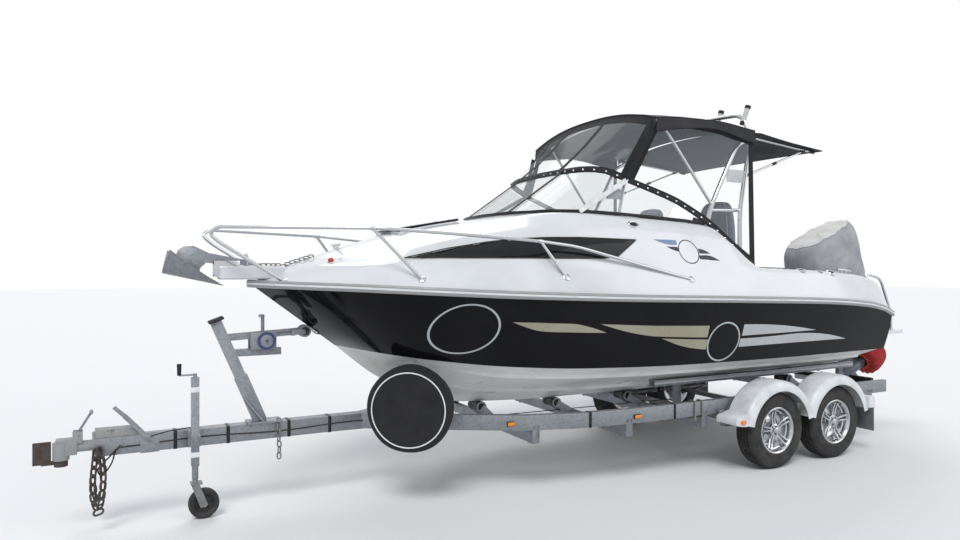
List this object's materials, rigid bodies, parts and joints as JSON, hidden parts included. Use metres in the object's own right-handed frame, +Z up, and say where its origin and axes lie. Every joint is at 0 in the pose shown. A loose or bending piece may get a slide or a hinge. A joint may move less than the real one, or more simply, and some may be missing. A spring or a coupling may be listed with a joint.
{
  "type": "trailerable cuddy-cabin speedboat on its trailer",
  "caption": "A cuddy-cabin speedboat with a canopy, stainless arch and covered outboard that tilts and steers, resting on a tandem-axle trailer with rolling wheels, winch post and jockey wheel",
  "frame": {"origin": "on the ground below the middle of the whole object's length, on its centre plane", "axes": "+X towards the bow and the trailer's coupling, +Y to port, +Z up"},
  "size_m": [8.4885, 2.4476, 3.2219],
  "materials": {
    "black_gelcoat": "high-gloss black gelcoat",
    "white_gelcoat": "glossy white gelcoat",
    "grey_vinyl": "extruded grey vinyl",
    "stainless": "polished stainless",
    "galvanised": "hot-dip galvanised, dull",
    "tinted_acrylic": "dark tinted acrylic",
    "clear_glass": "clear",
    "canvas": "black marine canvas",
    "clear_vinyl": "clear flexible vinyl",
    "seat_vinyl": "dark vinyl",
    "black_plastic": "black moulded",
    "white_plastic": "white moulded",
    "rubber": "black rubber",
    "polished_alloy": "polished",
    "engine_paint": "dark blue-grey gloss",
    "cover_cloth": "grey cloth",
    "red_cloth": "red cloth",
    "rusty_steel": "rusty"
  },
  "bodies": {
    "boat_and_trailer": {"hull": "black_gelcoat", "deck": "white_gelcoat", "cockpit_sole": "white_gelcoat", "cockpit_liner": "white_gelcoat", "cabin_moulding": "white_gelcoat", "rub_rail": "grey_vinyl", "side_window_port": "tinted_acrylic", "side_window_starboard": "tinted_acrylic", "windscreen_frame": "black_plastic", "windscreen_glass": "clear_glass", "canopy_roof": "canvas", "aft_shade": "canvas", "front_curtain": "clear_vinyl", "side_curtain_port": "clear_vinyl", "side_curtain_starboard": "clear_vinyl", "targa_arch": "stainless", "bow_rail_port": "stainless", "bow_rail_starboard": "stainless", "bowsprit": "stainless", "helm_console": "white_gelcoat", "helm_seat_port": "seat_vinyl", "helm_seat_starboard": "seat_vinyl", "engine_pod": "white_gelcoat", "stern_rail_port": "stainless", "stern_rail_starboard": "stainless", "transom_bracket": "engine_paint", "chassis": "galvanised", "axle_front": "galvanised", "axle_rear": "galvanised", "guards_port": "white_plastic", "guards_starboard": "white_plastic", "winch_post": "galvanised", "coupling": "galvanised", "hitch_lock": "rusty_steel", "safety_chain_port": "rusty_steel", "safety_chain_starboard": "rusty_steel", "jockey_leg": "galvanised", "spare_wheel": "black_plastic"},
    "foredeck_hatch": {"foredeck_hatch": "tinted_acrylic"},
    "helm_wheel": {"helm_wheel": "black_plastic"},
    "outboard_tilt": {"swivel_bracket": "engine_paint"},
    "outboard_steer": {"outboard_leg": "engine_paint", "powerhead": "engine_paint", "engine_cover": "cover_cloth"},
    "propeller": {"propeller": "stainless", "prop_bag": "red_cloth"},
    "coupling_lever": {"coupling_lever": "galvanised"},
    "handbrake_lever": {"handbrake_lever": "galvanised"},
    "jockey_fork": {"jockey_fork": "rusty_steel"},
    "jockey_wheel": {"jockey_wheel": "rubber"},
    "wheel_front_port": {"tyre_front_port": "rubber", "rim_front_port": "polished_alloy"},
    "wheel_front_starboard": {"tyre_front_starboard": "rubber", "rim_front_starboard": "polished_alloy"},
    "wheel_rear_port": {"tyre_rear_port": "rubber", "rim_rear_port": "polished_alloy"},
    "wheel_rear_starboard": {"tyre_rear_starboard": "rubber", "rim_rear_starboard": "polished_alloy"}
  },
  "joints": [
    {"name": "foredeck_hatch", "type": "hinge", "parent": "boat_and_trailer", "child": "foredeck_hatch", "pos_m": [1.9213, 0, 1.98723], "axis": [0, 1, 0], "range_deg": [0, 75]},
    {"name": "helm_wheel", "type": "hinge", "parent": "boat_and_trailer", "child": "helm_wheel", "pos_m": [0.2993, -0.52, 1.66], "axis": [-0.8829, 0, 0.4695], "range_deg": [-730, 730]},
    {"name": "outboard_tilt", "type": "hinge", "parent": "boat_and_trailer", "child": "outboard_tilt", "pos_m": [-3.0707, 0, 1.2], "axis": [0, 1, 0], "range_deg": [-25, 40]},
    {"name": "outboard_steer", "type": "hinge", "parent": "outboard_tilt", "child": "outboard_steer", "pos_m": [-3.16368, 0, 1.23681], "axis": [0.3681, 0, 0.9298], "range_deg": [-30, 30]},
    {"name": "propeller", "type": "hinge", "parent": "outboard_steer", "child": "propeller", "pos_m": [-3.94147, 0, 0.63057], "axis": [0.9298, 0, -0.3681], "continuous": true},
    {"name": "wheel_front_port", "type": "hinge", "parent": "boat_and_trailer", "child": "wheel_front_port", "pos_m": [-1.2007, 1.0075, 0.325], "axis": [0, 1, 0], "continuous": true},
    {"name": "wheel_front_starboard", "type": "hinge", "parent": "boat_and_trailer", "child": "wheel_front_starboard", "pos_m": [-1.2007, -1.0075, 0.325], "axis": [0, 1, 0], "continuous": true},
    {"name": "wheel_rear_port", "type": "hinge", "parent": "boat_and_trailer", "child": "wheel_rear_port", "pos_m": [-1.9507, 1.0075, 0.325], "axis": [0, 1, 0], "continuous": true},
    {"name": "wheel_rear_starboard", "type": "hinge", "parent": "boat_and_trailer", "child": "wheel_rear_starboard", "pos_m": [-1.9507, -1.0075, 0.325], "axis": [0, 1, 0], "continuous": true},
    {"name": "coupling_lever", "type": "hinge", "parent": "boat_and_trailer", "child": "coupling_lever", "pos_m": [3.9973, 0, 0.633], "axis": [0, 1, 0], "range_deg": [-40, 0]},
    {"name": "handbrake_lever", "type": "hinge", "parent": "boat_and_trailer", "child": "handbrake_lever", "pos_m": [3.5893, 0.066, 0.575], "axis": [0, 1, 0], "range_deg": [-45, 20]},
    {"name": "jockey_swivel", "type": "hinge", "parent": "boat_and_trailer", "child": "jockey_fork", "pos_m": [3.2993, 0.095, 0.25], "axis": [0, 0, 1], "continuous": true},
    {"name": "jockey_wheel", "type": "hinge", "parent": "jockey_fork", "child": "jockey_wheel", "pos_m": [3.2443, 0.095, 0.1], "axis": [0, 1, 0], "continuous": true}
  ],
  "couplings": [
    {"joint": "helm_wheel", "follows": "outboard_steer", "ratio": 24}
  ]
}
